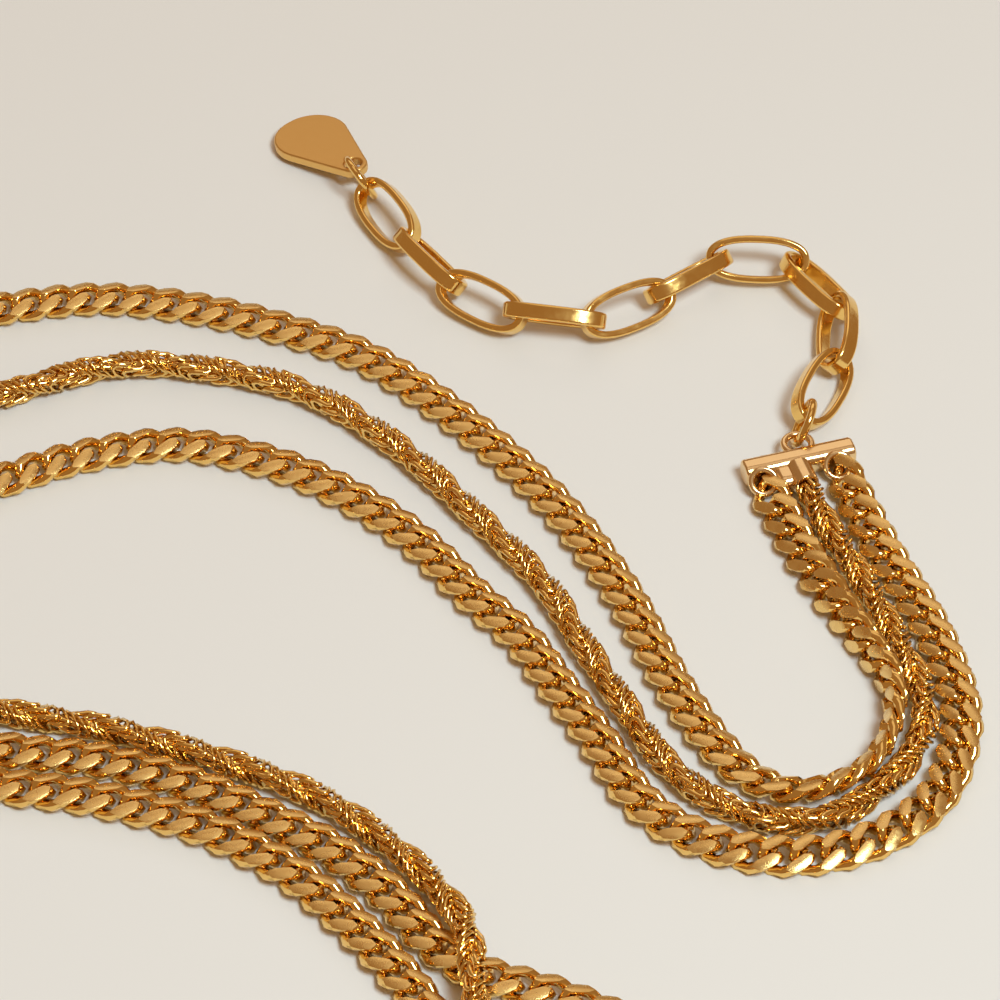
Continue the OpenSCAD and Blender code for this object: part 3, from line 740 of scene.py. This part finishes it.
# %% [markdown]
# ## End bars
#
# A bar of square section with softened edges carries a short tube end for each curb strand, a
# ferrule for the rope and a loop behind. They are soldered on, so all of it is one piece. The tube
# ends are stouter than the model's and turned further to the front, the bar's edges are rounder,
# and solder has run into the corner between the left tube end and the ferrule.

# %% End bars
BAR_CORNER, BAR_EDGE = 0.9, 0.3
# a tube end: wall, middle radius, length, rounding, then its place and its turn
TUBE_WALL, TUBE_R, TUBE_L, TUBE_CORNER = 0.64, 1.2, 1.4, 0.28
TUBE_OUT, TUBE_Z, TUBE_TILT, TUBE_TURN = 0.25, 1.42, 47, -16
# the ferrule: wall, and how far it runs back into the bar
FERRULE_WALL, FERRULE_BACK = 0.5, 0.4
# the solder: length, width, height, rounding of its sides and of its ends, then its place
SOLDER_L, SOLDER_W, SOLDER_H, SOLDER_CORNER, SOLDER_EDGE = 2.9, 2.7, 2.0, 0.98, 0.95
SOLDER_AT = (-1.75, -1.8, 1.1)


def end_bar(place):
    """The bar along x, its fittings towards -y, and the loop towards +y, moved to its place."""
    bar = moved(rod(BAR_L, section(BAR_W, BAR_H, BAR_CORNER, 7), BAR_EDGE), np.eye(3),
                (0, 0, BAR_H/2))
    end = hoop(oval(TUBE_R, TUBE_R), section(TUBE_WALL, TUBE_L, TUBE_CORNER, 5))
    ends = [moved(end, turned(x=TUBE_TILT, z=TUBE_TURN), (x, -EYELET_OUT - TUBE_OUT, TUBE_Z))
            for x in (END_AT[0], END_AT[2])]
    sleeve_r, sleeve_l = FERRULE_D/2 - FERRULE_WALL/2, FERRULE_L + FERRULE_BACK
    sleeve = moved(hoop(oval(sleeve_r, sleeve_r), section(FERRULE_WALL, sleeve_l, 0.2)), turned(x=90),
                   (END_AT[1], -BAR_W/2 - FERRULE_L/2 + FERRULE_BACK/2, FERRULE_Z))
    solder = rod(SOLDER_L, section(SOLDER_W, SOLDER_H, SOLDER_CORNER, 6), SOLDER_EDGE, 7)
    ends.append(moved(solder, turned(z=90), SOLDER_AT))
    loop = moved(ring_of_wire(LOOP_D, LOOP_WIRE), np.eye(3),
                 (LOOP_AT, BAR_W/2 + LOOP_OUT, LOOP_Z))
    return moved(joined([bar] + ends + [sleeve, loop]), turned(z=place[2]), place[:2] + (0,))


for name, place in (("end_bar_front", BAR_FRONT), ("end_bar_back", BAR_BACK)):
    p, f, d = end_bar(place)
    piece(name + "_soldered", p, f, [soldered], None, d, (name,))

# %% [markdown]
# ## Clasp
#
# The far end is hidden from view, so the clasp is a plain one: a round body with an opening that
# takes any extender link, a short neck, and an eye thin enough for its ring.

# %% Clasp
CLASP_L, CLASP_W, CLASP_T, CLASP_WALL, CLASP_EYE = 12.5, 6, 2.4, 1.3, 1.8
CLASP_AT = (91.85, -97.6)
# wall of the eye, and the room left under it for its ring: the ring's wire and some air
EYE_WALL, EYE_RING_WIRE, EYE_AIR = 0.8, 0.8, 0.4
eye_r = CLASP_EYE/2 + EYE_WALL
eye_t = CLASP_T - EYE_RING_WIRE - EYE_AIR
body_x = CLASP_L - eye_r - CLASP_W/2
body_r = (CLASP_W - CLASP_WALL)/2
body = moved(hoop(oval(body_r, body_r), section(CLASP_WALL, CLASP_T, 0.45)), np.eye(3),
             (body_x, 0, CLASP_T/2))
eye = moved(hoop(oval(eye_r - EYE_WALL/2, eye_r - EYE_WALL/2), section(EYE_WALL, eye_t, 0.2)), np.eye(3),
            (0, 0, CLASP_T - eye_t/2))
neck_x = (eye_r - 0.25, body_x - CLASP_W/2 + 0.5)
neck = moved(rod(neck_x[1] - neck_x[0], section(2*eye_r - 0.5, eye_t, 0.3)), np.eye(3),
             (sum(neck_x)/2, 0, CLASP_T - eye_t/2))
p, f, d = moved(joined([body, eye, neck]), np.eye(3), CLASP_AT + (0,))
piece("clasp_body", p, f, [polished], None, d, ("clasp",))
